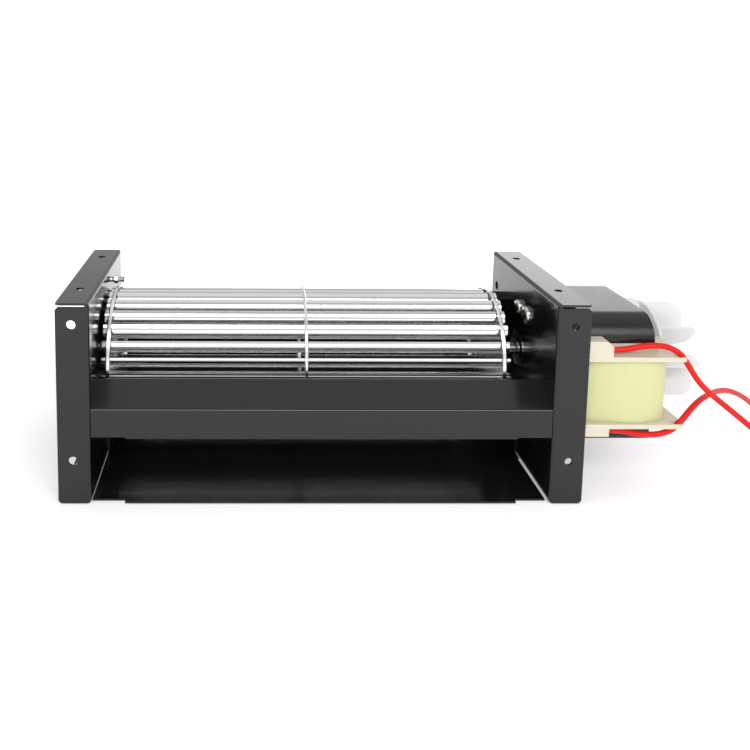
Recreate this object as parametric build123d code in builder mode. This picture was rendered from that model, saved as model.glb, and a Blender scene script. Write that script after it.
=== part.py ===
from build123d import *
import math
import os

os.makedirs("parts", exist_ok=True)

# Small cross flow fan: a tangential impeller between two folded side plates, with a
# shaded-pole motor on the right. X runs along the impeller shaft towards the motor,
# Y runs from the outlet to the back and Z is up. The origin is on the bottom face of
# the housing, half way between the side plates. All sizes are in millimetres.

# Housing
plate_gap = 204.0
plate_depth = 93.0
plate_height = 91.5
plate_flange = 14.6
plate_sheet = 1.0
duct_sheet = 0.8
bend_radius = 1.8
front_y = -plate_depth / 2
web_x = plate_gap / 2

# Shaft line, as distances back from the middle and up from the base
axis_y = 2.5
axis_z = 53.4

# Impeller
impeller_left = -98.6
impeller_right = 87.2
rim_radius = 30.0
rim_width = 1.9
disc_sheet = 0.9
blade_count = 24
blade_outer = 29.0
blade_inner = 24.0
blade_sheet = 0.5
blade_end = 1.9

# Motor
core_left = 119.8
core_right = 149.8
core_front = -37.5
core_back = 26.0
core_bottom = 25.2
core_top = 82.2
leg_depth = 12.0
window_low = 34.3
window_high = 71.0
window_back = -18.0
stator_bore = 13.0
rotor_radius = 12.5
shaft_radius = 2.9
stub_radius = 2.0
running_gap = 0.04
bobbin_wall = 2.0
lead_radius = 1.3


def section_at(x):
    """Plane across the shaft at x, with its local origin on the shaft line."""
    return Plane(origin=(x, axis_y, axis_z), x_dir=(0, 1, 0), z_dir=(1, 0, 0))


# Plane along the shaft line, for turned parts: local x is X and local y is the radius.
shaft_plane = Plane(origin=(0, axis_y, axis_z), x_dir=(1, 0, 0), z_dir=(0, -1, 0))
shaft_axis = Axis((0, axis_y, axis_z), (1, 0, 0))


def turned(*outline):
    """Part turned round the shaft line from an outline of (x, radius) points."""
    with BuildPart() as turning:
        with BuildSketch(shaft_plane):
            with BuildLine():
                Polyline(*outline, close=True)
            make_face()
        revolve(axis=shaft_axis)
    return turning.part


def save(piece, name):
    """Label a finished piece and write it as one STEP file."""
    piece.label = name
    export_step(piece, f"parts/{name}.step")


# ---------------------------------------------------------------------------
# Side plates: pressed from 1 mm steel, with all four flanges turned outwards
# and narrow slits where the flanges meet at the corners.
slit = 0.8
corner_cut = 1.2
flange_hole_x = 7.8
flange_hole_low = 19.7
flange_hole_high = 81.8
top_hole_front = -25.5
top_hole_back = 31.0
top_hole_radius = 1.9
boss_hole = 9.2


def folded_plate(flange_hole_radius):
    """Right-hand side plate with its web at web_x and its flanges towards +X."""
    with BuildPart() as plate:
        with BuildSketch(Plane.YZ.offset(web_x)):
            with Locations((0, plate_height / 2)):
                Rectangle(plate_depth, plate_height)
        extrude(amount=plate_flange)
        fillet(plate.faces().sort_by(Axis.X)[0].edges(), bend_radius)
        offset(amount=-plate_sheet, openings=plate.faces().sort_by(Axis.X)[-1])
        slit_length = plate_flange - bend_radius
        for side in (-1, 1):
            # The top flange runs over the front and back flanges.
            with Locations(
                (
                    web_x + bend_radius + slit_length / 2,
                    side * (plate_depth - plate_sheet) / 2,
                    plate_height - plate_sheet - slit / 2,
                )
            ):
                Box(slit_length, plate_sheet, slit, mode=Mode.SUBTRACT)
            # The front and back flanges run past the ends of the bottom flange.
            with Locations(
                (
                    web_x + bend_radius + slit_length / 2,
                    side * (plate_depth / 2 - plate_sheet - slit / 2),
                    plate_sheet / 2,
                )
            ):
                Box(slit_length, slit, plate_sheet, mode=Mode.SUBTRACT)
        outer = plate.edges().filter_by(lambda e: e.length < plate_sheet * 1.5)
        free_corners = outer.group_by(Axis.X)[-1]
        chamfer(free_corners, corner_cut)
        with Locations(
            Location((web_x + flange_hole_x, 0, flange_hole_low), (90, 0, 0)),
            Location((web_x + flange_hole_x, 0, flange_hole_high), (90, 0, 0)),
        ):
            Cylinder(flange_hole_radius, plate_depth * 1.1, mode=Mode.SUBTRACT)
        with Locations(
            (web_x + flange_hole_x, top_hole_front, plate_height),
            (web_x + flange_hole_x, top_hole_back, plate_height),
        ):
            Cylinder(top_hole_radius, plate_sheet * 4, mode=Mode.SUBTRACT)
    return plate.part


def web_holes(*holes):
    """Round holes through a web at (y, z, radius), on the side given by the current plane."""
    for y, z, radius in holes:
        with Locations((y, z)):
            Circle(radius)


# Fixing points in the webs, as (y, z)
tongue_ear = (-38.5, 40.5)
volute_back_ear = (42.6, 38.0)
volute_low_ear = (2.0, 7.0)
rivet_radius = 1.25
bearing_hole = 5.6
bearing_rivet_circle = 11.8
long_screws = [(1.2, 75.2), (2 * axis_y - 1.2, 2 * axis_z - 75.2)]
mount_screws = [(-9.6, 74.7), (2 * axis_y + 9.6, 2 * axis_z - 74.7)]
long_screw_radius = 1.5
mount_screw_radius = 2.0
pin_place = (12.1, 85.0)
pin_radius = 1.45
spare_hole = (37.5, 75.0)
spare_hole_radius = 2.25

sheet_rivet_holes = [(*p, rivet_radius) for p in (tongue_ear, volute_back_ear, volute_low_ear)]
bearing_rivets = [
    (
        axis_y + bearing_rivet_circle * math.cos(math.radians(a)),
        axis_z + bearing_rivet_circle * math.sin(math.radians(a)),
    )
    for a in (90, 210, 330)
]

with BuildPart() as left_side_plate:
    add(folded_plate(2.1).mirror(Plane.YZ))
    with BuildSketch(Plane.YZ.offset(-web_x - plate_sheet)):
        web_holes(
            (axis_y, axis_z, bearing_hole),
            (*pin_place, pin_radius),
            *[(*p, rivet_radius) for p in bearing_rivets],
            *sheet_rivet_holes,
        )
    extrude(amount=plate_sheet, mode=Mode.SUBTRACT)
save(left_side_plate.part, "left_side_plate")

with BuildPart() as right_side_plate:
    add(folded_plate(1.65))
    with BuildSketch(Plane.YZ.offset(web_x)):
        web_holes(
            (axis_y, axis_z, boss_hole),
            (*spare_hole, spare_hole_radius),
            *[(*p, long_screw_radius) for p in long_screws],
            *[(*p, mount_screw_radius) for p in mount_screws],
            *sheet_rivet_holes,
        )
    extrude(amount=plate_sheet, mode=Mode.SUBTRACT)
save(right_side_plate.part, "right_side_plate")

# ---------------------------------------------------------------------------
# Volute: one sheet that is flat under the outlet and then rolls up behind the
# impeller on a widening spiral, here four tangent arcs, to a lip at the top.
volute_start = 25.0
volute_radius = 33.6
spiral_rate = 0.2123
volute_arcs = 4
end_gap = 1.0
end_gap_length = 39.0
front_step = 2.2
front_step_width = 14.8
lip_length = 5.0
lip_radius = 1.6
lip_slope = 12.0
ear_width = 9.0

spiral_slope = math.degrees(math.atan(spiral_rate))
spiral_turn = volute_start + 90 + spiral_slope
arc_turn = spiral_turn / volute_arcs
spiral_end_radius = volute_radius * math.exp(spiral_rate * math.radians(spiral_turn))
floor_end = axis_y - spiral_end_radius * math.sin(math.radians(spiral_slope))
back_ear_root = 39.9
back_ear_outline = [
    (back_ear_root - 0.2, volute_back_ear[1] - ear_width / 2),
    (volute_back_ear[0] + 2, volute_back_ear[1] - ear_width / 2),
    (volute_back_ear[0] + 2, volute_back_ear[1] + ear_width / 2),
    (back_ear_root - 0.2, volute_back_ear[1] + ear_width / 2),
]


def spiral_curvature(turned_by):
    """Radius of curvature of the spiral after it has turned by an angle from its top."""
    reach = volute_radius * math.exp(spiral_rate * math.radians(turned_by))
    return reach * math.sqrt(1 + spiral_rate**2)


with BuildPart() as volute_sheet:
    with BuildSketch(Plane.YZ.offset(-web_x)) as volute_section:
        with BuildLine():
            wall = Line((front_y, duct_sheet), (floor_end, duct_sheet))
            for i in range(volute_arcs):
                rolled = spiral_curvature(spiral_turn - (i + 0.5) * arc_turn)
                wall = JernArc(wall @ 1, wall % 1, rolled, arc_turn)
            wall = JernArc(wall @ 1, wall % 1, lip_radius, lip_slope - spiral_turn)
            wall = Line(wall @ 1, wall @ 1 + (wall % 1) * lip_length)
            offset(amount=duct_sheet, side=Side.RIGHT)
        make_face()
    extrude(amount=plate_gap)
    # The outlet edge stands forward between the side plates' folds.
    with Locations((-web_x, front_y, duct_sheet / 2), (web_x, front_y, duct_sheet / 2)):
        Box(2 * front_step_width, 2 * front_step, duct_sheet, mode=Mode.SUBTRACT)
    # The flat part is cut a little short of the right-hand web.
    with Locations((web_x, front_y, duct_sheet / 2)):
        Box(2 * end_gap, 2 * end_gap_length, duct_sheet, mode=Mode.SUBTRACT)
    # Ears folded flat against the webs: one behind the roll, one low in the duct.
    for side in (-1, 1):
        ear_x = side * (web_x - duct_sheet / 2)
        with BuildSketch(Plane.YZ.offset(ear_x - duct_sheet / 2)):
            with Locations(volute_low_ear):
                Rectangle(ear_width, 2 * (volute_low_ear[1] - duct_sheet / 2))
            with BuildLine():
                Polyline(*back_ear_outline, close=True)
            make_face()
        extrude(amount=duct_sheet)
        with Locations(
            Location((ear_x, *volute_low_ear), (0, 90, 0)),
            Location((ear_x, *volute_back_ear), (0, 90, 0)),
        ):
            Cylinder(rivet_radius, 3 * duct_sheet, mode=Mode.SUBTRACT)
save(volute_sheet.part, "volute_sheet")

# ---------------------------------------------------------------------------
# Tongue: the sheet over the outlet. A nearly upright front bar, a slope that
# rises towards the impeller, and a nose folded down in front of the blades.
bar_low = 30.6
bar_high = 43.0
bar_inset = 0.9
slope_end = (-31.2, 52.4)
nose_length = 7.5
nose_turn = 112.0
tongue_bend = 1.2
lip_drop = 0.9
lip_width = 174.0
ear_front = tongue_ear[0] - 5
ear_back = tongue_ear[0] + 4
slope_rise = (slope_end[1] - bar_high) / (slope_end[0] - front_y - bar_inset)


def slope_height(y):
    """Height of the upper face of the tongue's slope at y."""
    return slope_end[1] + (y - slope_end[0]) * slope_rise


with BuildPart() as tongue_sheet:
    with BuildSketch(Plane.YZ.offset(-web_x)):
        with BuildLine():
            nose_heading = math.atan(slope_rise) - math.radians(nose_turn)
            nose_end = (
                slope_end[0] + nose_length * math.cos(nose_heading),
                slope_end[1] + nose_length * math.sin(nose_heading),
            )
            FilletPolyline(
                (front_y + bar_inset - 0.4, bar_low),
                (front_y + bar_inset, bar_high),
                slope_end,
                nose_end,
                radius=tongue_bend,
            )
            offset(amount=duct_sheet, side=Side.RIGHT)
        make_face()
    extrude(amount=plate_gap)
    # The middle of the bar reaches a little lower than its ends.
    with Locations((0, front_y + bar_inset, bar_low - lip_drop / 2)):
        Box(lip_width, duct_sheet, lip_drop, align=(Align.CENTER, Align.MIN, Align.CENTER))
    for side in (-1, 1):
        ear_x = side * (web_x - duct_sheet / 2)
        with BuildSketch(Plane.YZ.offset(ear_x - duct_sheet / 2)):
            with BuildLine():
                Polyline(
                    (ear_front, tongue_ear[1] - 4),
                    (ear_back, tongue_ear[1] - 4),
                    (ear_back, slope_height(ear_back) - duct_sheet / 2),
                    (ear_front, slope_height(ear_front) - duct_sheet / 2),
                    close=True,
                )
            make_face()
        extrude(amount=duct_sheet)
        with Locations(Location((ear_x, *tongue_ear), (0, 90, 0))):
            Cylinder(rivet_radius, 3 * duct_sheet, mode=Mode.SUBTRACT)
save(tongue_sheet.part, "tongue_sheet")


def rivet(x, side, y, z, grip, shank=rivet_radius):
    """Flat-domed rivet along X with its head at x and its shank running towards side."""
    head = 1.75 * shank
    dome = 0.6 * shank
    closed = 1.4 * shank
    with BuildPart() as one:
        with BuildSketch(Plane(origin=(x, y, z), x_dir=(side, 0, 0), z_dir=(0, -side, 0))):
            with BuildLine():
                Polyline(
                    (-dome, 0),
                    (-dome, 0.6 * head),
                    (-0.4 * dome, 0.9 * head),
                    (0, head),
                    (0, shank),
                    (grip, shank),
                    (grip, closed),
                    (grip + dome, 0.8 * closed),
                    (grip + dome, 0),
                    close=True,
                )
            make_face()
        revolve(axis=Axis((x, y, z), (1, 0, 0)))
    return one.part


sheet_grip = duct_sheet + plate_sheet
inner_face = web_x - duct_sheet

with BuildPart() as duct_rivets:
    for place in (tongue_ear, volute_back_ear, volute_low_ear):
        for side in (-1, 1):
            add(rivet(side * inner_face, side, *place, sheet_grip))
save(duct_rivets.part, "duct_rivets")

# ---------------------------------------------------------------------------
# Left bearing: a pressed cup riveted outside the web holds a rubber ring with a
# sintered bush in it. The impeller's stub shaft turns in the bush.
cup_x = -web_x - plate_sheet
cup_flange = 15.0
cup_radius = 9.4
cup_depth = 8.0
cup_mouth = 6.6
cup_sheet = 0.8
bush_radius = 5.0
bush_length = 7.0

left_bearing_cup = turned(
    (cup_x, cup_flange),
    (cup_x, cup_radius - cup_sheet),
    (cup_x - cup_depth + cup_sheet, cup_radius - cup_sheet),
    (cup_x - cup_depth + cup_sheet, cup_mouth),
    (cup_x - cup_depth, cup_mouth),
    (cup_x - cup_depth, cup_radius - 1),
    (cup_x - cup_depth + 1, cup_radius),
    (cup_x - cup_sheet, cup_radius),
    (cup_x - cup_sheet, cup_flange),
)
with BuildPart() as drilled_cup:
    add(left_bearing_cup)
    for y, z in bearing_rivets:
        with Locations(Location((cup_x, y, z), (0, 90, 0))):
            Cylinder(rivet_radius, 4 * cup_sheet, mode=Mode.SUBTRACT)
save(drilled_cup.part, "left_bearing_cup")

with BuildPart() as cup_rivets:
    for y, z in bearing_rivets:
        add(rivet(-web_x, -1, y, z, plate_sheet + cup_sheet))
save(cup_rivets.part, "bearing_rivets")

ring_end = cup_x - cup_depth + cup_sheet
left_bearing_rubber = turned(
    (cup_x, cup_radius - cup_sheet),
    (ring_end, cup_radius - cup_sheet),
    (ring_end, bush_radius),
    (cup_x, bush_radius),
)
save(left_bearing_rubber, "left_bearing_rubber")

left_bush = turned(
    (cup_x, bush_radius),
    (cup_x - bush_length, bush_radius),
    (cup_x - bush_length, stub_radius + running_gap),
    (cup_x, stub_radius + running_gap),
)
save(left_bush, "left_bush")

# Gauge pin: a small screw through the left web with a nut on its inner side.
pin_inside = 6.9
nut_gap = 1.7
nut_depth = 2.2
nut_flats = 5.0

with BuildPart() as gauge_screw:
    with BuildSketch(Plane(origin=(-web_x - plate_sheet, *pin_place), x_dir=(0, 1, 0), z_dir=(-1, 0, 0))):
        Circle(1.9 * pin_radius)
    extrude(amount=1.9)
    chamfer(gauge_screw.edges().sort_by(Axis.X)[0], 0.5)
    with BuildSketch(Plane(origin=(-web_x - plate_sheet, *pin_place), x_dir=(0, 1, 0), z_dir=(1, 0, 0))):
        Circle(pin_radius)
    extrude(amount=plate_sheet + pin_inside)
    chamfer(gauge_screw.edges().sort_by(Axis.X)[-1], 0.3)
save(gauge_screw.part, "gauge_screw")

with BuildPart() as gauge_nut:
    with BuildSketch(Plane(origin=(-web_x + nut_gap, *pin_place), x_dir=(0, 1, 0), z_dir=(1, 0, 0))):
        RegularPolygon(nut_flats / 2, 6, major_radius=False)
        Circle(pin_radius, mode=Mode.SUBTRACT)
    extrude(amount=nut_depth)
save(gauge_nut.part, "gauge_nut")

# ---------------------------------------------------------------------------
# Impeller: forward-curved aluminium blades pushed through slots in two end discs
# and a centre ring, their ends standing out beyond the end discs.
ring_middle = (impeller_left + impeller_right) / 2
ring_width = 1.5
ring_inner = 21.0
blade_lead = 11.0
blade_bow = 1.5

with BuildSketch() as blade_section:
    with BuildLine():
        tip = Vector(blade_outer, 0).rotate(Axis.Z, -blade_lead)
        SagittaArc((blade_inner, 0), tip, blade_bow)
        offset(amount=blade_sheet, side=Side.RIGHT)
    make_face()

with BuildPart() as impeller_blades:
    with BuildSketch(section_at(impeller_left - blade_end)):
        with PolarLocations(0, blade_count):
            add(blade_section.sketch)
    extrude(amount=impeller_right - impeller_left + 2 * blade_end)
save(impeller_blades.part, "impeller_blades")


def slotted(blank):
    """A disc or ring with a slot for every blade."""
    with BuildPart() as disc:
        add(blank)
        add(impeller_blades.part, mode=Mode.SUBTRACT)
    return disc.part


def end_disc(x, inward, hole):
    """End disc with its outer face at x and a rim turned inward along the blades."""
    inner = x + inward * disc_sheet
    return turned(
        (x, hole),
        (x, rim_radius - 0.5),
        (x + inward * 0.5, rim_radius),
        (x + inward * rim_width, rim_radius),
        (x + inward * rim_width, rim_radius - 0.5),
        (inner, rim_radius - 0.6),
        (inner, hole),
    )


save(slotted(end_disc(impeller_left, 1, stub_radius)), "left_end_disc")
save(slotted(end_disc(impeller_right, -1, shaft_radius)), "right_end_disc")
centre_ring = turned(
    (ring_middle - ring_width / 2, ring_inner),
    (ring_middle + ring_width / 2, ring_inner),
    (ring_middle + ring_width / 2, rim_radius - 0.3),
    (ring_middle + ring_width / 4, rim_radius),
    (ring_middle - ring_width / 4, rim_radius),
    (ring_middle - ring_width / 2, rim_radius - 0.3),
)
save(slotted(centre_ring), "centre_ring")

# Left stub shaft: a turned pin with a flange against the inside of its disc.
stub_flange = 8.0
stub_flange_sheet = 1.2
stub_end = cup_x - bush_length - 1.5
disc_inside = impeller_left + disc_sheet

left_stub_shaft = turned(
    (disc_inside + stub_flange_sheet, 0),
    (disc_inside + stub_flange_sheet, stub_flange),
    (disc_inside, stub_flange),
    (disc_inside, stub_radius),
    (stub_end + 0.4, stub_radius),
    (stub_end, stub_radius - 0.4),
    (stub_end, 0),
)
save(left_stub_shaft, "left_stub_shaft")

# Right hub: a turned boss on the outside of its disc, locked to the motor shaft.
hub_flange = 8.5
hub_flange_sheet = 1.4
hub_radius = 5.4
hub_length = 8.0
grub_x = impeller_right + hub_length * 0.6
grub_radius = 1.5
grub_recess = 0.3

with BuildPart() as impeller_hub:
    add(
        turned(
            (impeller_right, shaft_radius),
            (impeller_right, hub_flange),
            (impeller_right + hub_flange_sheet, hub_flange),
            (impeller_right + hub_flange_sheet, hub_radius),
            (impeller_right + hub_length - 0.5, hub_radius),
            (impeller_right + hub_length, hub_radius - 0.5),
            (impeller_right + hub_length, shaft_radius),
        )
    )
    with BuildSketch(Plane.XY.offset(axis_z)):
        with Locations((grub_x, axis_y)):
            Circle(grub_radius)
    extrude(amount=hub_radius + 1, mode=Mode.SUBTRACT)
save(impeller_hub.part, "impeller_hub")

with BuildPart() as hub_grub_screw:
    with BuildSketch(Plane.XY.offset(axis_z + shaft_radius)):
        with Locations((grub_x, axis_y)):
            Circle(grub_radius)
    extrude(amount=hub_radius - shaft_radius - grub_recess)
    with BuildSketch(Plane.XY.offset(axis_z + hub_radius - grub_recess)):
        with Locations((grub_x, axis_y)):
            RegularPolygon(0.75, 6, major_radius=False)
    extrude(amount=-1.2, mode=Mode.SUBTRACT)
save(hub_grub_screw.part, "hub_grub_screw")

# ---------------------------------------------------------------------------
# Motor brackets: two zinc castings, each an upright bar with a pad at both ends
# and a bearing boss on the shaft line. The front one spaces the motor off the web.
bar_width = 14.0
pad_height = 10.0
bracket_low = core_bottom + 0.6
bracket_high = core_top - 0.6
front_base = 3.0
front_boss_radius = 8.8
front_boss_end = 116.9
lug_radius = 6.0
rear_bar_start = 153.6
rear_bar_end = 158.0
rear_boss_start = 152.6
rear_boss_end = 161.0
rear_boss_radius = 8.2
bearing_length = 8.0
bar_corner = 3.5
base_x = web_x + plate_sheet

with BuildPart() as front_bracket:
    with BuildSketch(Plane.YZ.offset(base_x)):
        with Locations(*mount_screws):
            Circle(lug_radius)
        make_hull()
        with Locations((axis_y, (bracket_low + bracket_high) / 2)):
            Rectangle(bar_width, bracket_high - bracket_low)
    extrude(amount=front_base)
    with BuildSketch(Plane.YZ.offset(base_x)):
        with Locations(
            (axis_y, bracket_low + pad_height / 2),
            (axis_y, bracket_high - pad_height / 2),
        ):
            Rectangle(bar_width, pad_height)
    extrude(amount=core_left - base_x)
    with BuildSketch(section_at(base_x)):
        Circle(front_boss_radius)
    extrude(amount=front_boss_end - base_x)
    with BuildSketch(section_at(base_x)):
        Circle(bush_radius)
    extrude(amount=front_boss_end - base_x, mode=Mode.SUBTRACT)
    with BuildSketch(Plane.YZ.offset(base_x)):
        with Locations(*long_screws):
            Circle(long_screw_radius)
    extrude(amount=core_left - base_x, mode=Mode.SUBTRACT)
    with BuildSketch(Plane.YZ.offset(base_x)):
        with Locations(*mount_screws):
            Circle(mount_screw_radius)
    extrude(amount=front_base, mode=Mode.SUBTRACT)
save(front_bracket.part, "front_bracket")

with BuildPart() as rear_bracket:
    with BuildSketch(Plane.XZ.offset(-axis_y - bar_width / 2)):
        with BuildLine():
            Polyline(
                (core_right, bracket_low),
                (rear_bar_end, bracket_low),
                (rear_bar_end, bracket_high),
                (core_right, bracket_high),
                (core_right, bracket_high - pad_height),
                (rear_bar_start, bracket_high - pad_height - 2),
                (rear_bar_start, bracket_low + pad_height + 2),
                (core_right, bracket_low + pad_height),
                close=True,
            )
        make_face()
        outer_corners = [v for v in vertices() if abs(v.X - rear_bar_end) < 0.01]
        fillet(outer_corners, bar_corner)
    extrude(amount=bar_width)
    with BuildSketch(section_at(rear_boss_start)):
        Circle(rear_boss_radius)
    extrude(amount=rear_boss_end - rear_boss_start)
    with BuildSketch(section_at(rear_boss_start)):
        Circle(bush_radius)
    extrude(amount=rear_boss_end - rear_boss_start, mode=Mode.SUBTRACT)
    with BuildSketch(Plane.YZ.offset(core_right)):
        with Locations(*long_screws):
            Circle(long_screw_radius)
    extrude(amount=rear_bar_end - core_right, mode=Mode.SUBTRACT)
save(rear_bracket.part, "rear_bracket")


def motor_bush(start):
    """Sintered bush for the motor shaft, starting at x = start."""
    return turned(
        (start, shaft_radius + running_gap),
        (start, bush_radius),
        (start + bearing_length, bush_radius),
        (start + bearing_length, shaft_radius + running_gap),
    )


save(motor_bush(front_boss_end - bearing_length), "front_motor_bush")
save(motor_bush(rear_boss_start), "rear_motor_bush")


def pan_screw(x, y, z, head_radius, head_height, shank, length):
    """Pan-head screw along +X with the underside of its head at x and a cross recess."""
    recess = 0.9 * head_height
    with BuildPart() as screw:
        with BuildSketch(Plane.YZ.offset(x)):
            with Locations((y, z)):
                Circle(head_radius)
        extrude(amount=-head_height)
        fillet(screw.edges().sort_by(Axis.X)[0], 0.45 * head_height)
        with BuildSketch(Plane.YZ.offset(x)):
            with Locations((y, z)):
                Circle(shank)
        extrude(amount=length)
        with BuildSketch(Plane.YZ.offset(x - head_height)):
            with Locations((y, z)):
                Rectangle(1.1 * head_radius, 0.24 * head_radius)
                Rectangle(0.24 * head_radius, 1.1 * head_radius)
        extrude(amount=recess, mode=Mode.SUBTRACT)
    return screw.part


# Two long screws clamp both brackets and the core to the web.
nut_height = 2.4
with BuildPart() as long_clamp_screws:
    for y, z in long_screws:
        long_length = rear_bar_end + nut_height + 1 - web_x
        add(pan_screw(web_x, y, z, 3.3, 2.6, long_screw_radius, long_length))
save(long_clamp_screws.part, "long_clamp_screws")

with BuildPart() as clamp_nuts:
    with BuildSketch(Plane.YZ.offset(rear_bar_end)):
        with Locations(*long_screws):
            RegularPolygon(2.75, 6, major_radius=False)
            Circle(long_screw_radius, mode=Mode.SUBTRACT)
    extrude(amount=nut_height)
save(clamp_nuts.part, "clamp_nuts")

with BuildPart() as bracket_screws:
    for y, z in mount_screws:
        screw_length = plate_sheet + front_base
        add(pan_screw(web_x, y, z, 4.0, 2.4, mount_screw_radius, screw_length))
save(bracket_screws.part, "bracket_screws")

# ---------------------------------------------------------------------------
# Stator: a C-shaped lamination stack with a round bore, and a separate leg
# pressed between its arms that carries the coil.
upper_front_corner = 11.5
lower_front_corner = 2.5
back_corner = 14.0
core_middle = (core_bottom + core_top) / 2
shading_angles = (38.0, 64.0, 218.0, 244.0)
shading_inner = 15.0
shading_outer = 20.6
shading_wire = 0.8

with BuildPart() as stator_core:
    with BuildSketch(Plane.YZ.offset(core_left)):
        with Locations(((core_front + core_back) / 2, core_middle)):
            Rectangle(core_back - core_front, core_top - core_bottom)
        fillet(vertices().group_by(Axis.X)[0].sort_by(Axis.Y)[0], lower_front_corner)
        fillet(vertices().group_by(Axis.X)[0].sort_by(Axis.Y)[-1], upper_front_corner)
        fillet(vertices().group_by(Axis.X)[-1], back_corner)
        with Locations((axis_y, axis_z)):
            Circle(stator_bore, mode=Mode.SUBTRACT)
        with Locations((core_front, (window_low + window_high) / 2)):
            Rectangle(
                window_back - core_front,
                window_high - window_low,
                align=(Align.MIN, Align.CENTER),
                mode=Mode.SUBTRACT,
            )
        with Locations(*long_screws):
            Circle(long_screw_radius, mode=Mode.SUBTRACT)
        with Locations((axis_y, axis_z)):
            for angle in shading_angles:
                for reach in (shading_inner, shading_outer):
                    place = Vector(reach, 0).rotate(Axis.Z, angle)
                    with Locations((place.X, place.Y)):
                        Circle(shading_wire, mode=Mode.SUBTRACT)
    extrude(amount=core_right - core_left)
save(stator_core.part, "stator_core")

with BuildPart() as coil_leg:
    with BuildSketch(Plane.YZ.offset(core_left)):
        with Locations((core_front, (window_low + window_high) / 2)):
            Rectangle(leg_depth, window_high - window_low, align=(Align.MIN, Align.CENTER))
    extrude(amount=core_right - core_left)
save(coil_leg.part, "coil_leg")

# Shading rings: square loops of thick copper wire through the pole faces.
with BuildPart() as shading_rings:
    for angle in shading_angles:
        for reach in (shading_inner, shading_outer):
            place = Vector(reach, 0).rotate(Axis.Z, angle)
            with BuildSketch(section_at(core_left - shading_wire)):
                with Locations((place.X, place.Y)):
                    Circle(shading_wire)
            extrude(amount=core_right - core_left + 2 * shading_wire)
        for x in (core_left - 2 * shading_wire, core_right):
            with BuildSketch(section_at(x)):
                with Locations(Location((0, 0), angle)):
                    with Locations(((shading_inner + shading_outer) / 2, 0)):
                        SlotCenterToCenter(shading_outer - shading_inner, 2 * shading_wire)
            extrude(amount=2 * shading_wire)
save(shading_rings.part, "shading_rings")

# ---------------------------------------------------------------------------
# Coil: a moulded nylon bobbin on the leg, and a taped winding between its flanges.
flange_left = 107.8
flange_right = 161.7
flange_front = -45.2
flange_back = -18.6
coil_right = 156.0
coil_left = core_left + core_right - coil_right
coil_front = -42.4
coil_back = core_front + leg_depth - (coil_front - core_front) - 0.3
coil_corner = 6.0
bobbin_low = window_low
bobbin_high = 67.3
collar_wall = 1.0
ear_right = 127.8
ear_height = 7.2
ear_depth = 7.0
ear_corner = 2.6
notch_front = -44.6
notch_back = -40.4
notch_depth = 5.4
flange_corner = 2.5


def leg_ring(wall):
    """Rectangle round the leg with the leg itself cut out of it."""
    middle = ((core_left + core_right) / 2, core_front + leg_depth / 2)
    with Locations(middle):
        Rectangle(core_right - core_left + 2 * wall, leg_depth + 2 * wall)
        Rectangle(core_right - core_left, leg_depth, mode=Mode.SUBTRACT)


with BuildPart() as coil_bobbin:
    for low in (bobbin_low, bobbin_high - bobbin_wall):
        with BuildSketch(Plane.XY.offset(low)):
            with Locations(((flange_left + flange_right) / 2, (flange_front + flange_back) / 2)):
                RectangleRounded(
                    flange_right - flange_left, flange_back - flange_front, flange_corner
                )
            with Locations((flange_right, (notch_front + notch_back) / 2)):
                SlotOverall(2 * notch_depth, notch_back - notch_front, mode=Mode.SUBTRACT)
            middle = ((core_left + core_right) / 2, core_front + leg_depth / 2)
            with Locations(middle):
                Rectangle(core_right - core_left, leg_depth, mode=Mode.SUBTRACT)
        extrude(amount=bobbin_wall)
    with BuildSketch(Plane.XY.offset(bobbin_low)):
        leg_ring(collar_wall)
    extrude(amount=window_high - bobbin_low)
    for base, up in ((bobbin_high, 1), (bobbin_low, -1)):
        ear_wide = ear_right - flange_left
        with BuildSketch(Plane.XY.offset(base)):
            with Locations((flange_left, flange_front)):
                Rectangle(ear_wide, ear_depth, align=(Align.MIN, Align.MIN))
        extrude(amount=up * (ear_height if up > 0 else ear_height / 2))
    ear_edges = coil_bobbin.edges().filter_by(Axis.Y).group_by(Axis.Z)[-1]
    chamfer(ear_edges.sort_by(Axis.X)[-1], ear_corner)
save(coil_bobbin.part, "coil_bobbin")

with BuildPart() as coil_winding:
    with BuildSketch(Plane.XY.offset(bobbin_low + bobbin_wall)):
        with Locations(((coil_left + coil_right) / 2, (coil_front + coil_back) / 2)):
            RectangleRounded(coil_right - coil_left, coil_back - coil_front, coil_corner)
        middle = ((core_left + core_right) / 2, core_front + leg_depth / 2)
        with Locations(middle):
            Rectangle(
                core_right - core_left + 2 * collar_wall,
                leg_depth + 2 * collar_wall,
                mode=Mode.SUBTRACT,
            )
    extrude(amount=bobbin_high - bobbin_low - 2 * bobbin_wall)
save(coil_winding.part, "coil_winding")

# ---------------------------------------------------------------------------
# Rotor, shaft and the cooling fan on the shaft's outer end
end_ring = 1.5
washer_sheet = 1.0
fan_start = 162.9
fan_sheet = 1.2
fan_end = 184.0
fan_radius = 24.0
fan_hub_radius = 6.0
fan_hub_end = 174.0
paddle_count = 8
paddle_sheet = 1.1
paddle_corner = 8.0

rotor = turned(
    (core_left - end_ring, shaft_radius),
    (core_left - end_ring, rotor_radius - 0.8),
    (core_left, rotor_radius - 0.8),
    (core_left, rotor_radius),
    (core_right, rotor_radius),
    (core_right, rotor_radius - 0.8),
    (core_right + end_ring, rotor_radius - 0.8),
    (core_right + end_ring, shaft_radius),
)
save(rotor, "rotor")

motor_shaft = turned(
    (impeller_right - disc_sheet, 0),
    (impeller_right - disc_sheet, shaft_radius),
    (fan_hub_end + 0.6, shaft_radius),
    (fan_hub_end + 1.2, shaft_radius - 0.6),
    (fan_hub_end + 1.2, 0),
)
save(motor_shaft, "motor_shaft")

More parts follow.
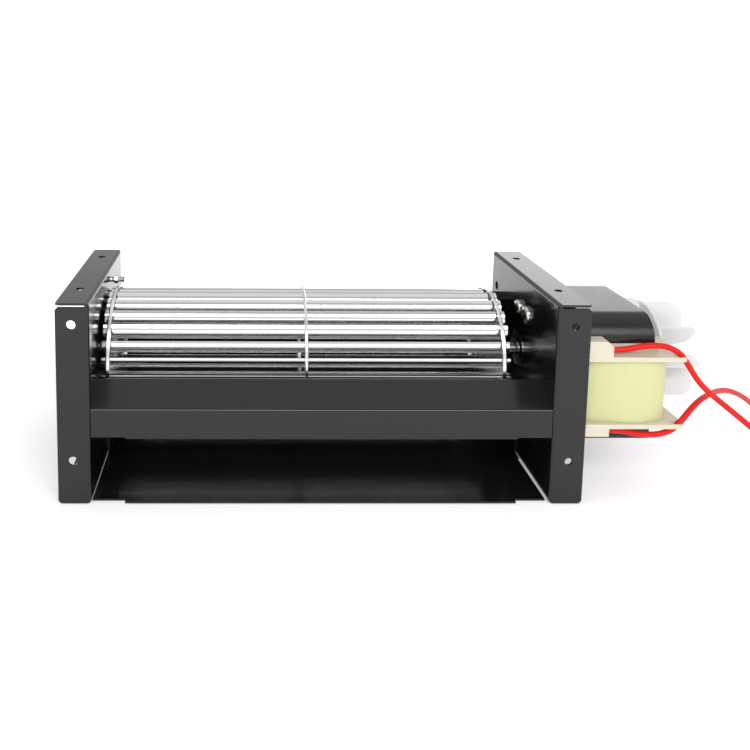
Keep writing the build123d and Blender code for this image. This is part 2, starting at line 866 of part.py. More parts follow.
with BuildPart() as thrust_washers:
    for start in (core_left - end_ring - washer_sheet, core_right + end_ring):
        with BuildSketch(section_at(start)):
            Circle(1.8 * shaft_radius)
            Circle(shaft_radius, mode=Mode.SUBTRACT)
        extrude(amount=washer_sheet)
save(thrust_washers.part, "thrust_washers")

with BuildPart() as cooling_fan:
    with BuildSketch(section_at(fan_start)):
        Circle(fan_radius)
    extrude(amount=fan_sheet)
    with BuildSketch(section_at(fan_start)):
        Circle(fan_hub_radius)
    extrude(amount=fan_hub_end - fan_start)
    for i in range(paddle_count):
        paddle_plane = shaft_plane.rotated((i * 360 / paddle_count, 0, 0))
        with BuildSketch(paddle_plane):
            with Locations(((fan_start + fan_end) / 2, fan_radius / 2)):
                Rectangle(fan_end - fan_start, fan_radius)
            fillet(vertices().group_by(Axis.X)[-1].sort_by(Axis.Y)[-1], paddle_corner)
        extrude(amount=paddle_sheet / 2, both=True)
    with BuildSketch(section_at(fan_start)):
        Circle(shaft_radius)
    extrude(amount=fan_end, mode=Mode.SUBTRACT)
save(cooling_fan.part, "cooling_fan")

# ---------------------------------------------------------------------------
# Leads: two loose stranded wires from the bobbin's ears. Each goes through the
# notch in its flange, they cross beside the coil, and both come down to the floor.
floor_lie = lead_radius + 0.05
stripped_radius = 0.6
stripped_length = 6.0
upper_route = [
    (ear_right, -41.9, 69.6),
    (133.8, -41.9, 69.6),
    (142.5, -42.1, 71.6),
    (151.3, -42.4, 71.9),
    (158.0, -42.7, 69.2),
    (161.9, -42.8, 64.2),
    (165.6, -42.5, 58.3),
    (170.4, -41.5, 52.6),
    (177.2, -40.2, 46.8),
    (185.6, -39.6, 40.2),
    (195.0, -39.9, 32.6),
    (205.5, -40.6, 23.7),
    (217.0, -40.2, 14.5),
    (229.5, -37.0, 6.8),
    (241.5, -30.6, 2.3),
    (251.0, -20.5, floor_lie),
    (256.5, -7.6, floor_lie),
    (257.9, 6.2, floor_lie),
]
lower_route = [
    (ear_right, -41.9, 32.3),
    (133.8, -41.9, 32.3),
    (142.2, -42.0, 30.4),
    (150.6, -42.1, 30.1),
    (157.2, -42.2, 32.1),
    (161.4, -42.0, 36.2),
    (166.4, -39.6, 40.3),
    (174.0, -33.8, 42.6),
    (183.6, -25.6, 41.9),
    (193.6, -15.6, 39.1),
    (204.4, -6.4, 35.4),
    (215.6, 1.6, 29.6),
    (226.4, 9.2, 22.3),
    (235.8, 17.6, 14.2),
    (243.4, 27.0, 6.8),
    (250.0, 37.2, 2.1),
    (256.6, 47.0, floor_lie),
]


def bend_radii(route):
    """The largest arc that fits at each inner point of a route."""
    radii = []
    for before, here, after in zip(route, route[1:], route[2:]):
        first = Vector(*here) - Vector(*before)
        second = Vector(*after) - Vector(*here)
        turn = math.radians(first.get_angle(second))
        radii.append(0.45 * min(first.length, second.length) / math.tan(turn / 2))
    return radii


def lead(route, name):
    """Round tube along a route of straight runs joined by tangent arcs, and its bare end."""
    radii = bend_radii(route)
    with BuildPart() as wire:
        with BuildLine() as path:
            FilletPolyline(*route, radius=radii)
        middle_line = path.wires()[0]
        with BuildSketch(Plane(origin=middle_line @ 0, z_dir=middle_line % 0)):
            Circle(lead_radius)
        sweep()
    save(wire.part, name)
    length = middle_line.length
    swept = math.pi * lead_radius**2 * length
    print(name, "length", round(length, 1), "smallest bend", round(min(radii), 1))
    print(name, "volume", round(wire.part.volume, 1), "section times length", round(swept, 1))
    with BuildPart() as strands:
        with BuildSketch(Plane(origin=middle_line @ 1, z_dir=middle_line % 1)):
            Circle(stripped_radius)
        extrude(amount=stripped_length)
        chamfer(strands.faces().sort_by(Axis.X)[-1].edges(), 0.2)
    save(strands.part, name + "_end")


lead(upper_route, "upper_lead")
lead(lower_route, "lower_lead")
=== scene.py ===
import math

import bmesh
import bpy
from mathutils import Matrix, Vector


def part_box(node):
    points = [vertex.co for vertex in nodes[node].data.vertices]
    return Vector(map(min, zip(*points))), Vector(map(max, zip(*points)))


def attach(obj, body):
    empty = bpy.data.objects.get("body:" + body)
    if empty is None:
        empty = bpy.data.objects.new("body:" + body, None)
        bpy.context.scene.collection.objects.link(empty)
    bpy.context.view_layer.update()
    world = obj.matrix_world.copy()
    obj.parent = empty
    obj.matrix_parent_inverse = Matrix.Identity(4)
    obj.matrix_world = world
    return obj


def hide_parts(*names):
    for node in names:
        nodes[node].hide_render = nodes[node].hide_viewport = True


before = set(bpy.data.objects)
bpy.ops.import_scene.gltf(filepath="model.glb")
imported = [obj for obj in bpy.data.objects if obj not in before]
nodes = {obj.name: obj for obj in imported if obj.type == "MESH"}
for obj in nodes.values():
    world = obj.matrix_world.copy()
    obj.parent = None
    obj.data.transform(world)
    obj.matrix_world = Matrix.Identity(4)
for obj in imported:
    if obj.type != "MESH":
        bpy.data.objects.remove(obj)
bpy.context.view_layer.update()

# ---------------------------------------------------------------------------
# Studio: a pale sweep that glows behind the fan, even pale air all round it, and three
# soft panels: behind on the right, wide above, and in front over the camera.
camera_place = (-0.0356, -0.3795, 0.2005)
camera_right_turn = math.radians(0.83)
camera_down_tilt = math.radians(6.64)
camera_roll = math.radians(0.47)

camera_data = bpy.data.cameras.new("studio_camera")
camera_data.lens = 38.17
camera_data.sensor_width = 36.0
camera_data.shift_x = 0.16
camera_data.shift_y = -0.31
camera = bpy.data.objects.new("studio_camera", camera_data)
bpy.context.scene.collection.objects.link(camera)
heading = Matrix.Rotation(-camera_right_turn, 3, "Z")
tilt = Matrix.Rotation(math.pi / 2 - camera_down_tilt, 3, "X")
roll = Matrix.Rotation(camera_roll, 3, "Z")
camera.location = camera_place
camera.rotation_euler = (heading @ tilt @ roll).to_euler()
bpy.context.scene.camera = camera


class Channel:
    """One value of a material: arithmetic adds Math nodes, node() adds any other."""

    def __init__(self, tree, socket=None):
        self.tree = tree
        self.socket = socket

    def node(self, kind, settings=None, inputs=None, output=0):
        """Adds a node, sets it up, fills its inputs and gives one of its outputs."""
        added = self.tree.nodes.new(kind)
        for name, value in (settings or {}).items():
            setattr(added, name, value)
        for name, value in (inputs or {}).items():
            if isinstance(value, Channel):
                self.tree.links.new(value.socket, added.inputs[name])
            else:
                added.inputs[name].default_value = value
        return Channel(self.tree, added.outputs[output] if added.outputs else None)

    def maths(self, operation, *values):
        settings = {"operation": operation}
        return self.node("ShaderNodeMath", settings, dict(enumerate(values)))

    def __add__(self, other):
        return self.maths("ADD", self, other)

    def __radd__(self, other):
        return self.maths("ADD", other, self)

    def __sub__(self, other):
        return self.maths("SUBTRACT", self, other)

    def __rsub__(self, other):
        return self.maths("SUBTRACT", other, self)

    def __mul__(self, other):
        return self.maths("MULTIPLY", self, other)

    def __rmul__(self, other):
        return self.maths("MULTIPLY", other, self)


def new_material(name):
    """An empty material and the channel from which its nodes start."""
    material = bpy.data.materials.new(name)
    material.use_nodes = True
    material.node_tree.nodes.clear()
    return material, Channel(material.node_tree)


def place_on_piece(start, stretch=(1, 1, 1)):
    """A point on the piece in metres, stretched along its axes."""
    coordinates = start.node("ShaderNodeTexCoord", output="Object")
    inputs = {"Vector": coordinates, "Scale": stretch}
    return start.node("ShaderNodeMapping", inputs=inputs)


def noise(start, where, scale, detail=2.0):
    """Soft random value from 0 to 1, with about this many changes in a metre."""
    inputs = {"Vector": where, "Scale": scale, "Detail": detail}
    return start.node("ShaderNodeTexNoise", inputs=inputs)


def mix_colours(start, amount, first, second):
    """The first colour where amount is 0 and the second where it is 1."""
    factor, colour_a, colour_b, mixed_colour = 0, 6, 7, 2
    inputs = {factor: amount, colour_a: (*first, 1), colour_b: (*second, 1)}
    return start.node("ShaderNodeMix", {"data_type": "RGBA"}, inputs, mixed_colour)


def bump(start, height, distance, strength=1.0):
    """The surface's normal, raised by height times distance in metres."""
    inputs = {"Height": height, "Distance": distance, "Strength": strength}
    return start.node("ShaderNodeBump", inputs=inputs)


def surface(start, **sockets):
    """Ends a material in one Principled shader. Names have _ for a space."""
    inputs = {name.replace("_", " "): value for name, value in sockets.items()}
    shader = start.node("ShaderNodeBsdfPrincipled", inputs=inputs)
    start.node("ShaderNodeOutputMaterial", inputs={"Surface": shader})


def between(start, value, low, high):
    """0 at low or past it, 1 at high or past it, and a straight slope between."""
    inputs = {"Value": value, "From Min": low, "From Max": high}
    return start.node("ShaderNodeMapRange", inputs=inputs)


def start_fresh():
    """Object mode with nothing selected, before a new piece is begun."""
    if bpy.context.object and bpy.context.object.mode != "OBJECT":
        bpy.ops.object.mode_set(mode="OBJECT")
    bpy.ops.object.select_all(action="DESELECT")


pale_grey = (0.93, 0.93, 0.93)
paler_grey = (0.96, 0.96, 0.96)
dim_glow = (0.25, 0.25, 0.25)
full_glow = (1.4, 1.4, 1.4)
front_glow_share = 0.3

floor_material, start = new_material("pale_sweep")
where = place_on_piece(start)
depth = start.node("ShaderNodeSeparateXYZ", inputs={"Vector": where}, output="Y")
behind_fan = between(start, depth, 0.1, 0.5)
far_in_front = between(start, depth, -0.5, -1.2)
glow = behind_fan + front_glow_share * far_in_front
surface(
    start,
    Base_Color=mix_colours(start, noise(start, where, 3.0), pale_grey, paler_grey),
    Roughness=0.9,
    Specular_IOR_Level=0.1,
    Emission_Color=mix_colours(start, glow, dim_glow, full_glow),
    Emission_Strength=1.0,
)

floor_side = 14
floor_drop = 0.0004
start_fresh()
bpy.ops.mesh.primitive_plane_add(size=1, location=(0, 0, -floor_drop))
floor = bpy.context.object
floor.name = "studio_floor"
bpy.ops.object.mode_set(mode="EDIT")
bpy.ops.transform.resize(value=(floor_side, floor_side, 1))
bpy.ops.mesh.subdivide(number_cuts=3)
bpy.ops.object.mode_set(mode="OBJECT")
floor.data.materials.append(floor_material)

high_air_glow = 0.62
low_air_extra = 0.25
background_glow = 1.05

world = bpy.data.worlds.new("studio_air")
world.use_nodes = True
world.node_tree.nodes.clear()
start = Channel(world.node_tree)
outward = start.node("ShaderNodeTexCoord")
height = start.node("ShaderNodeSeparateXYZ", inputs={"Vector": outward}, output="Z")
glow = high_air_glow + low_air_extra * between(start, height, 0.5, 0.0)
seen = start.node("ShaderNodeLightPath", output="Is Camera Ray")
strength = glow + (background_glow - glow) * seen
white_air = {"Color": (1, 1, 1, 1), "Strength": strength}
air = start.node("ShaderNodeBackground", inputs=white_air)
start.node("ShaderNodeOutputWorld", inputs={"Surface": air})
bpy.context.scene.world = world
bpy.context.scene.view_settings.view_transform = "Standard"


def soft_panel(name, place, target, width, height, power):
    """A rectangular soft light that faces a point."""
    light = bpy.data.lights.new(name, "AREA")
    light.shape = "RECTANGLE"
    light.size = width
    light.size_y = height
    light.energy = power
    panel = bpy.data.objects.new(name, light)
    bpy.context.scene.collection.objects.link(panel)
    panel.location = place
    aim = Vector(target) - Vector(place)
    panel.rotation_euler = aim.to_track_quat("-Z", "Y").to_euler()
    panel.visible_camera = False


soft_panel("panel_behind_right", (0.85, 1.2, 0.42), (0.1, 0, 0.09), 0.9, 0.5, 2)
soft_panel("panel_above", (0.0, 0.1, 1.3), (0, 0, 0.05), 1.6, 1.0, 1.5)
soft_panel("panel_front", (0.1, -0.85, 0.62), (0.05, 0, 0.05), 0.9, 0.42, 6.5)

# ---------------------------------------------------------------------------
# Leads: two loose single-core stranded wires with red PVC insulation, 2.6 mm thick,
# one from each ear of the bobbin. They cross beside the coil and lie on the floor,
# and each ends in a few millimetres of bare twisted strands.
lead_thickness = 0.0026
red_pvc = (0.70, 0.014, 0.010)
dark_red_pvc = (0.60, 0.010, 0.007)
tin = (0.72, 0.70, 0.66)
worn_tin = (0.62, 0.50, 0.40)

lead_material, start = new_material("red_pvc")
where = place_on_piece(start)
patch = noise(start, where, 90.0)
fine = noise(start, where, 1500.0, 3.0)
surface(
    start,
    Base_Color=mix_colours(start, patch, red_pvc, dark_red_pvc),
    Roughness=0.42 + 0.10 * fine,
    Normal=bump(start, fine, 0.00002),
    Specular_IOR_Level=0.2,
    Subsurface_Weight=0.05,
    Subsurface_Radius=(1.0, 0.2, 0.15),
    Subsurface_Scale=0.0012,
)

strand_material, start = new_material("tinned_strands")
dull = noise(start, place_on_piece(start), 900.0)
surface(
    start,
    Base_Color=mix_colours(start, dull, tin, worn_tin),
    Roughness=0.22 + 0.2 * dull,
    Metallic=1.0,
    Normal=bump(start, dull, 0.00003),
)

upper_route = [
    (0.1278, -0.0419, 0.0696),
    (0.1338, -0.0419, 0.0696),
    (0.1425, -0.0421, 0.0716),
    (0.1513, -0.0424, 0.0719),
    (0.1580, -0.0427, 0.0692),
    (0.1619, -0.0428, 0.0642),
    (0.1656, -0.0425, 0.0583),
    (0.1704, -0.0415, 0.0526),
    (0.1772, -0.0402, 0.0468),
    (0.1856, -0.0396, 0.0402),
    (0.1950, -0.0399, 0.0326),
    (0.2055, -0.0406, 0.0237),
    (0.2170, -0.0402, 0.0145),
    (0.2295, -0.0370, 0.0068),
    (0.2415, -0.0306, 0.0023),
    (0.2510, -0.0205, 0.00135),
    (0.2565, -0.0076, 0.00135),
    (0.2579, 0.0062, 0.00135),
]
lower_route = [
    (0.1278, -0.0419, 0.0323),
    (0.1338, -0.0419, 0.0323),
    (0.1422, -0.0420, 0.0304),
    (0.1506, -0.0421, 0.0301),
    (0.1572, -0.0422, 0.0321),
    (0.1614, -0.0420, 0.0362),
    (0.1664, -0.0396, 0.0403),
    (0.1740, -0.0338, 0.0426),
    (0.1836, -0.0256, 0.0419),
    (0.1936, -0.0156, 0.0391),
    (0.2044, -0.0064, 0.0354),
    (0.2156, 0.0016, 0.0296),
    (0.2264, 0.0092, 0.0223),
    (0.2358, 0.0176, 0.0142),
    (0.2434, 0.0270, 0.0068),
    (0.2500, 0.0372, 0.0021),
    (0.2566, 0.0470, 0.00135),
]


def take_up(piece):
    """Selects one piece alone, for the operators that follow."""
    start_fresh()
    bpy.context.view_layer.objects.active = piece
    piece.select_set(True)


def settle(name):
    """Names the piece being made and puts its place, turn and size into its mesh."""
    piece = bpy.context.object
    piece.name = name
    bpy.ops.object.transform_apply(location=True, rotation=True, scale=True)
    return piece


def finish_piece(piece, node, material, body="housing", crease=35):
    """Smooths a piece except at sharp edges, and puts it in its node's place."""
    take_up(piece)
    bpy.ops.object.shade_smooth_by_angle(angle=math.radians(crease))
    piece.data.materials.append(material)
    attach(piece, body)
    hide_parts(node)


strand_ridges = 7
bundle_radius = 0.00058
groove_ratio = 0.78
twist_steps = 14
twist_length = 0.0004
twist_turn = 0.22
cut_end_ratio = 0.8


def bare_strands(name, base, heading):
    """Twisted bundle of tinned strands, as long as the bared end, along heading."""
    start_fresh()
    bpy.ops.mesh.primitive_circle_add(
        vertices=2 * strand_ridges,
        radius=bundle_radius,
        fill_type="NGON",
        location=base,
    )
    bundle = bpy.context.object
    bpy.ops.object.mode_set(mode="EDIT")
    mesh = bmesh.from_edit_mesh(bundle.data)
    for i, vert in enumerate(mesh.verts):
        if i % 2:
            vert.co *= groove_ratio
    bmesh.update_edit_mesh(bundle.data)
    rise = {"value": (0, 0, twist_length)}
    for _ in range(twist_steps):
        bpy.ops.mesh.extrude_region_move(TRANSFORM_OT_translate=rise)
        bpy.ops.transform.rotate(
            value=twist_turn, orient_axis="Z", center_override=base
        )
    bpy.ops.transform.resize(value=(cut_end_ratio,) * 3, center_override=base)
    turn = heading.to_track_quat("Z", "Y").to_matrix()
    mesh = bmesh.from_edit_mesh(bundle.data)
    bmesh.ops.rotate(mesh, verts=mesh.verts, cent=(0, 0, 0), matrix=turn)
    bmesh.update_edit_mesh(bundle.data)
    bpy.ops.object.mode_set(mode="OBJECT")
    settle(name)
    node = name.replace("strands", "end")
    finish_piece(bundle, node, strand_material, crease=50)
    return bundle


def free_lead(node, route):
    """Smooth red wire along its route, with its bare end."""
    curve = bpy.data.curves.new(node + "_wire", "CURVE")
    curve.dimensions = "3D"
    curve.resolution_u = 10
    curve.bevel_depth = lead_thickness / 2
    curve.bevel_resolution = 6
    curve.use_fill_caps = True
    line = curve.splines.new("NURBS")
    line.points.add(len(route) - 1)
    for point, place in zip(line.points, route):
        point.co = (*place, 1)
    line.order_u = 3
    line.use_endpoint_u = True
    wire = bpy.data.objects.new(node + "_wire", curve)
    bpy.context.scene.collection.objects.link(wire)
    curve.materials.append(lead_material)
    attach(wire, "housing")
    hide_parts(node)
    last = Vector(route[-1])
    heading = (last - Vector(route[-2])).normalized()
    strands = bare_strands(node + "_strands", last, heading)


free_lead("upper_lead", upper_route)
free_lead("lower_lead", lower_route)

# ---------------------------------------------------------------------------
# Side plates, duct sheets and their rivets: steel sheet, 1.0 mm for the plates and
# 0.8 mm for the duct, blanked, folded, riveted and then painted a semi-gloss black.
black_paint = (0.0040, 0.0040, 0.0043)
worn_paint = (0.0065, 0.0065, 0.0070)

paint_material, start = new_material("semi_gloss_black_paint")
where = place_on_piece(start)
cloud = noise(start, where, 14.0, 3.0)
peel = noise(start, where, 700.0, 2.0)
dust = between(start, noise(start, where, 2600.0, 2.0), 0.68, 0.78)
surface(
    start,
    Base_Color=mix_colours(start, cloud, black_paint, worn_paint),
    Roughness=0.13 + 0.07 * cloud + 0.10 * dust,
    Normal=bump(start, peel + 0.25 * dust, 0.00006, 0.2),
)


def dress(material, *names):
    """Gives CAD nodes this one finish."""
    for name in names:
        nodes[name].data.materials.clear()
        nodes[name].data.materials.append(material)


dress(paint_material, "left_side_plate", "right_side_plate")
dress(paint_material, "volute_sheet", "tongue_sheet", "duct_rivets")

# ---------------------------------------------------------------------------
# Impeller: blades rolled from bright aluminium strip, with their ends pushed through
# the slots of two end discs and a centre ring, and upset so that they stand out.
# The hub and the motor's cast rotor are of aluminium too.
bright_aluminium = (0.78, 0.78, 0.785)
grey_aluminium = (0.70, 0.70, 0.71)
bright_disc = (0.84, 0.84, 0.85)
grey_disc = (0.76, 0.76, 0.77)

aluminium_material, start = new_material("rolled_aluminium")
rolling_lines = noise(start, place_on_piece(start, (0.004, 1, 1)), 2600.0, 2.0)
handled = noise(start, place_on_piece(start, (0.1, 1, 1)), 60.0, 1.0)
surface(
    start,
    Base_Color=mix_colours(start, handled, bright_aluminium, grey_aluminium),
    Metallic=1.0,
    Roughness=0.10 + 0.03 * rolling_lines + 0.02 * handled,
    Normal=bump(start, rolling_lines, 0.00001, 0.05),
)

disc_material, start = new_material("pressed_aluminium_disc")
where = place_on_piece(start)
speck = noise(start, where, 1200.0, 3.0)
cloud = noise(start, where, 40.0, 2.0)
surface(
    start,
    Base_Color=mix_colours(start, cloud, bright_disc, grey_disc),
    Metallic=1.0,
    Roughness=0.16 + 0.12 * speck + 0.05 * cloud,
    Normal=bump(start, speck, 0.00003, 0.5),
)
dress(aluminium_material, "impeller_blades")
dress(disc_material, "left_end_disc", "centre_ring", "right_end_disc")
dress(disc_material, "impeller_hub", "rotor")

# ---------------------------------------------------------------------------
# Shafts and the hub's grub screw: ground bright steel for the stub and the motor
# shaft, and blackened steel for the screw that clamps the hub on the shaft.
ground_steel = (0.66, 0.66, 0.67)
oily_steel = (0.50, 0.49, 0.47)
black_steel = (0.03, 0.03, 0.032)
brown_steel = (0.06, 0.055, 0.05)

steel_material, start = new_material("ground_steel")
turned_lines = noise(start, place_on_piece(start, (1, 0.05, 0.05)), 5000.0, 2.0)
oil = noise(start, place_on_piece(start), 120.0)
surface(
    start,
    Base_Color=mix_colours(start, oil, ground_steel, oily_steel),
    Metallic=1.0,
    Roughness=0.14 + 0.12 * turned_lines,
    Normal=bump(start, turned_lines, 0.00002, 0.5),
)
dress(steel_material, "left_stub_shaft", "motor_shaft")

black_steel_material, start = new_material("blackened_steel")
oil = noise(start, place_on_piece(start), 800.0)
surface(
    start,
    Base_Color=mix_colours(start, oil, black_steel, brown_steel),
    Metallic=0.9,
    Roughness=0.35 + 0.15 * oil,
    Normal=bump(start, oil, 0.00003),
)
dress(black_steel_material, "hub_grub_screw")

# ---------------------------------------------------------------------------
# Bearing cup, motor brackets, rivets and nuts: pressed steel with bright zinc plate,
# which keeps a faint cloudiness and dulls a little where it has been handled.
fresh_zinc = (0.70, 0.70, 0.67)
handled_zinc = (0.54, 0.54, 0.53)

zinc_material, start = new_material("bright_zinc_plate")
where = place_on_piece(start)
cloud = noise(start, where, 70.0, 4.0)
crystal = noise(start, where, 1100.0, 3.0)
surface(
    start,
    Base_Color=mix_colours(start, cloud, fresh_zinc, handled_zinc),
    Metallic=1.0,
    Roughness=0.16 + 0.14 * cloud + 0.06 * crystal,
    Normal=bump(start, crystal, 0.00003, 0.4),
)
dress(zinc_material, "left_bearing_cup", "bearing_rivets")
dress(zinc_material, "front_bracket", "rear_bracket", "clamp_nuts")

# ---------------------------------------------------------------------------
# Screws: headed and rolled steel with bright zinc plate. Two long screws clamp the
# motor, two short ones hold its bracket, and a small one with a nut sets the left end.
head_seat = 0.102
bright_zinc = (0.74, 0.73, 0.69)
dull_zinc = (0.50, 0.49, 0.46)

screw_material, start = new_material("zinc_plated_screw")
cloud = noise(start, place_on_piece(start), 260.0, 3.0)
surface(
    start,
    Base_Color=mix_colours(start, cloud, bright_zinc, dull_zinc),
    Metallic=1.0,
    Roughness=0.10 + 0.16 * cloud,
    Normal=bump(start, cloud, 0.00003, 0.5),
)


def drawn_along_x(name, sides, y, z, outline):
    """A closed piece along X, drawn ring by ring through (x, radius) points."""
    x, radius = outline[0]
    start_fresh()
    bpy.ops.mesh.primitive_circle_add(
        vertices=sides,
        radius=radius,
        fill_type="NGON",
        location=(x, y, z),
        rotation=(0, math.radians(90), 0),
    )
    piece = settle(name)
    bpy.ops.object.mode_set(mode="EDIT")
    bpy.ops.mesh.select_all(action="SELECT")
    for next_x, next_radius in outline[1:]:
        onward = {"value": (next_x - x, 0, 0)}
        bpy.ops.mesh.extrude_region_move(TRANSFORM_OT_translate=onward)
        ratio = next_radius / radius
        bpy.ops.transform.resize(
            value=(1, ratio, ratio), center_override=(next_x, y, z)
        )
        x, radius = next_x, next_radius
    bpy.ops.mesh.select_all(action="SELECT")
    bpy.ops.mesh.normals_make_consistent(inside=False)
    bpy.ops.object.mode_set(mode="OBJECT")
    return piece


def block(name, middle, size):
    """A plain block of this size, to be shaped further."""
    start_fresh()
    bpy.ops.mesh.primitive_cube_add(size=1, location=middle, scale=size)
    return settle(name)


def combine(piece, other, operation):
    """Adds another solid to a piece or takes it out, and throws that solid away."""
    step = piece.modifiers.new("combined", "BOOLEAN")
    step.operation = operation
    step.object = other
    take_up(piece)
    bpy.ops.object.modifier_apply(modifier=step.name)
    bpy.data.objects.remove(other)


tip_taper = 0.0005
tip_ratio = 0.8
dome = ((0, 1.0), (0.38, 1.0), (0.66, 0.93), (0.86, 0.76), (0.96, 0.50), (1.0, 0.20))
recess_length = 1.1
recess_width = 0.24
recess_depth = 1.3


def screw_pair(name, node, places, head_radius, head_height, shank_radius):
    """Two like screws with domed heads and a cross recess, heads towards -X."""
    (y, z), (other_y, other_z) = places
    tip_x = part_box(node)[1][0]
    outline = [(tip_x, tip_ratio * shank_radius), (tip_x - tip_taper, shank_radius)]
    outline.append((head_seat, shank_radius))
    for rise, width in dome:
        outline.append((head_seat - rise * head_height, width * head_radius))
    screw = drawn_along_x(name, 32, y, z, outline)
    for wide, high in ((recess_length, recess_width), (recess_width, recess_length)):
        recess = block(
            "cross_recess",
            (head_seat - head_height, y, z),
            (recess_depth * head_height, wide * head_radius, high * head_radius),
        )
        combine(screw, recess, "DIFFERENCE")
    across = {"value": (0, other_y - y, other_z - z)}
    bpy.ops.object.mode_set(mode="EDIT")
    bpy.ops.mesh.select_all(action="SELECT")
    bpy.ops.mesh.duplicate_move(TRANSFORM_OT_translate=across)
    bpy.ops.object.mode_set(mode="OBJECT")
    finish_piece(screw, node, screw_material)


screw_pair(
    "bracket_pan_screws",
    "bracket_screws",
    ((-0.0096, 0.0747), (0.0146, 0.0321)),
    head_radius=0.0040,
    head_height=0.0024,
    shank_radius=0.0020,
)
screw_pair(
    "motor_clamp_screws",
    "long_clamp_screws",
    ((0.0012, 0.0752), (0.0038, 0.0316)),
    head_radius=0.0033,
    head_height=0.0026,
    shank_radius=0.0015,
)

pin_y, pin_z = 0.0121, 0.0850
pin_end_radius = 0.0012
thread_pitch = 0.0007
thread_turns = 9
thread_crest = 0.0015
thread_root = 0.00125
pin_head_radius = 0.0028
pin_head_height = 0.0016
pin_head_rounding = 0.0010
head_start_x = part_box("gauge_screw")[0][0]
thread_end_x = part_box("gauge_screw")[1][0]
head_back_x = head_start_x + pin_head_height

ridges = [(thread_end_x, pin_end_radius)]
for turn in range(thread_turns):
    ridge_x = thread_end_x - (turn + 0.5) * thread_pitch
    ridges += [(ridge_x, thread_crest), (ridge_x - thread_pitch / 2, thread_root)]
ridges += [
    (head_back_x, thread_crest),
    (head_back_x, pin_head_radius),
    (head_back_x - pin_head_rounding, pin_head_radius),
    (head_start_x, pin_head_radius - pin_head_rounding),
]
set_screw = drawn_along_x("left_set_screw", 24, pin_y, pin_z, ridges)
finish_piece(set_screw, "gauge_screw", screw_material)

nut_radius = 0.0021
nut_face_radius = 0.0017
nut_chamfer = 0.0003
nut_start_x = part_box("gauge_nut")[0][0]
nut_end_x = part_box("gauge_nut")[1][0]
nut_outline = [
    (nut_end_x, nut_face_radius),
    (nut_end_x - nut_chamfer, nut_radius),
    (nut_start_x + nut_chamfer, nut_radius),
    (nut_start_x, nut_face_radius),
]
lock_nut = drawn_along_x("left_lock_nut", 6, pin_y, pin_z, nut_outline)
finish_piece(lock_nut, "gauge_nut", screw_material)

# ---------------------------------------------------------------------------
# Bearings: oil-filled sintered bronze bushes, and on the left a black rubber collar
# that lets the bush align itself and keeps its noise out of the plate.
fresh_bronze = (0.42, 0.29, 0.15)
oiled_bronze = (0.30, 0.20, 0.10)
black_rubber = (0.012, 0.012, 0.012)
bloomed_rubber = (0.03, 0.03, 0.03)

bronze_material, start = new_material("sintered_bronze")
grain = noise(start, place_on_piece(start), 3500.0, 3.0)
surface(
    start,
    Base_Color=mix_colours(start, grain, fresh_bronze, oiled_bronze),
    Metallic=0.8,
    Roughness=0.42 + 0.2 * grain,
    Normal=bump(start, grain, 0.00004),
)
dress(bronze_material, "left_bush", "front_motor_bush", "rear_motor_bush")

rubber_material, start = new_material("black_rubber")
bloom = noise(start, place_on_piece(start), 200.0, 4.0)
surface(
    start,
    Base_Color=mix_colours(start, bloom, black_rubber, bloomed_rubber),
    Roughness=0.62 + 0.2 * bloom,
    Normal=bump(start, bloom, 0.00006),
)
dress(rubber_material, "left_bearing_rubber")

# ---------------------------------------------------------------------------
# Stator: a stack of 0.5 mm silicon steel laminations, pressed together and dipped in
# black varnish, with four shading rings of bare copper wire round its pole tips.
thick_varnish = (0.0035, 0.0034, 0.0034)
thin_varnish = (0.008, 0.007, 0.006)
clean_copper = (0.86, 0.42, 0.24)
tarnished_copper = (0.50, 0.22, 0.12)

core_material, start = new_material("varnished_laminations")
where = place_on_piece(start)
lamination = start.node(
    "ShaderNodeTexWave",
    {"bands_direction": "X"},
    {"Vector": where, "Scale": 630.0, "Distortion": 0.6, "Detail": 1.0},
)
varnish = noise(start, where, 60.0, 3.0)
surface(
    start,
    Base_Color=mix_colours(start, varnish, thick_varnish, thin_varnish),
    Roughness=0.18 + 0.12 * varnish,
    Normal=bump(start, 0.5 * lamination + varnish, 0.00005, 0.5),
)
dress(core_material, "stator_core", "coil_leg")

copper_material, start = new_material("bare_copper_ring")
tarnish = noise(start, place_on_piece(start), 300.0, 3.0)
surface(
    start,
    Base_Color=mix_colours(start, tarnish, clean_copper, tarnished_copper),
    Metallic=1.0,
    Roughness=0.22 + 0.2 * tarnish,
    Normal=bump(start, tarnish, 0.00003),
)
dress(copper_material, "shading_rings")

# ---------------------------------------------------------------------------
# Bobbin: moulded in cream nylon, with two wide flanges, a tube round the coil leg
# and an ear on each flange. The thrust washers are of the same plastic.
cream_nylon = (0.65, 0.60, 0.49)
deep_cream_nylon = (0.61, 0.55, 0.44)

nylon_material, start = new_material("cream_nylon")
where = place_on_piece(start)
flow = noise(start, where, 45.0, 3.0)
spark = noise(start, where, 2200.0, 2.0)
surface(
    start,
    Base_Color=mix_colours(start, flow, cream_nylon, deep_cream_nylon),
    Roughness=0.36 + 0.12 * spark,
    Normal=bump(start, spark, 0.00003),
    Subsurface_Weight=0.35,
    Subsurface_Radius=(1.0, 0.7, 0.4),
    Subsurface_Scale=0.003,
)
dress(nylon_material, "coil_bobbin", "thrust_washers")

